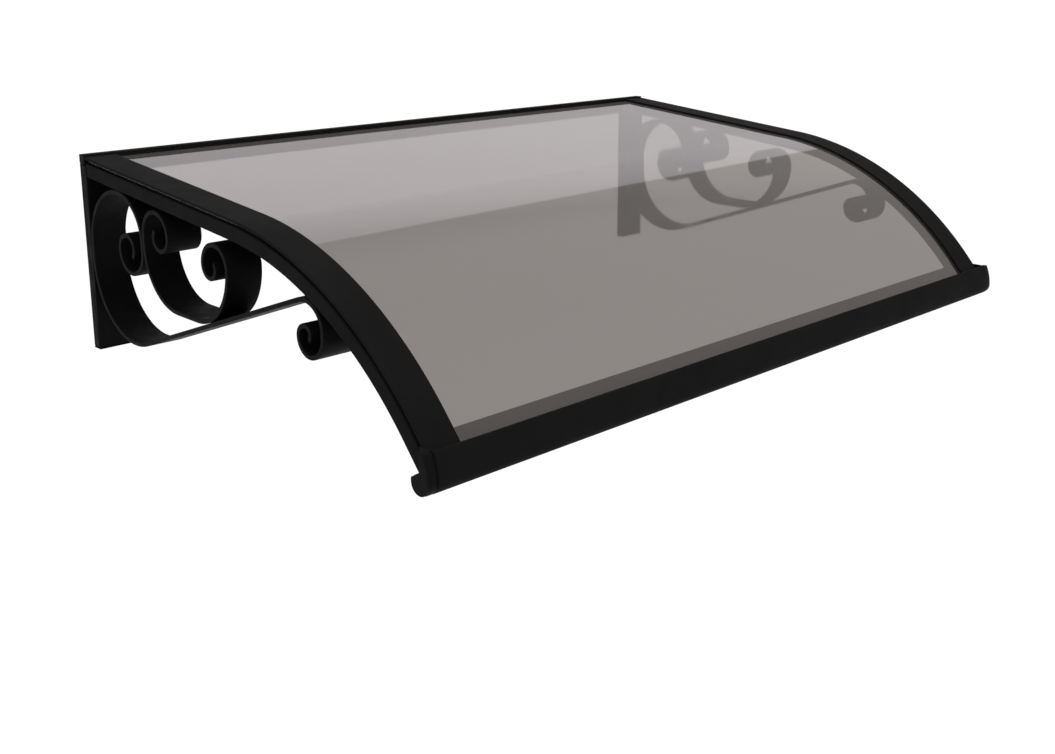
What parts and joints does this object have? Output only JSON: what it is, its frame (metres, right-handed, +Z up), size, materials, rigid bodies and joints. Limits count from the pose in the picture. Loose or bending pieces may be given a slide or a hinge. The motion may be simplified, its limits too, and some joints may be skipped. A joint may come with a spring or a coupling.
{
  "type": "polycarbonate door canopy",
  "caption": "Wall-hung door canopy: a curved smoke-grey clear sheet in a black frame on two scroll brackets.",
  "frame": {"origin": "centre of the wall rail's back face, in the plane of the wall", "axes": "+X along the wall to the right as seen from the street, +Y into the wall, +Z up; the canopy reaches out towards -Y"},
  "size_m": [1.23, 0.7837, 0.2859],
  "materials": {
    "smoke_sheet": "clear grey-tinted solid polycarbonate, glossy",
    "black_paint": "satin black powder coat",
    "black_bar": "satin black paint on flat bar",
    "black_rubber": "matt black seal",
    "black_plastic": "moulded black plastic",
    "zinc": "dull zinc plate"
  },
  "bodies": {
    "root": {"canopy_sheet": "smoke_sheet", "wall_rail": "black_paint", "wall_seal": "black_rubber", "front_rail": "black_paint", "wall_post_left": "black_bar", "post_plug_left": "black_plastic", "arch_rib_left": "black_paint", "big_scroll_left": "black_bar", "centre_scroll_left": "black_bar", "side_gasket_left": "black_rubber", "side_cap_left": "black_paint", "wall_rail_end_left": "black_plastic", "rail_end_cap_left": "black_plastic", "cap_screw_left_1": "zinc", "cap_screw_left_2": "zinc", "cap_screw_left_3": "zinc", "cap_screw_left_4": "zinc", "wall_post_right": "black_bar", "post_plug_right": "black_plastic", "arch_rib_right": "black_paint", "big_scroll_right": "black_bar", "centre_scroll_right": "black_bar", "side_gasket_right": "black_rubber", "side_cap_right": "black_paint", "wall_rail_end_right": "black_plastic", "rail_end_cap_right": "black_plastic", "cap_screw_right_1": "zinc", "cap_screw_right_2": "zinc", "cap_screw_right_3": "zinc", "cap_screw_right_4": "zinc"}
  },
  "joints": []
}
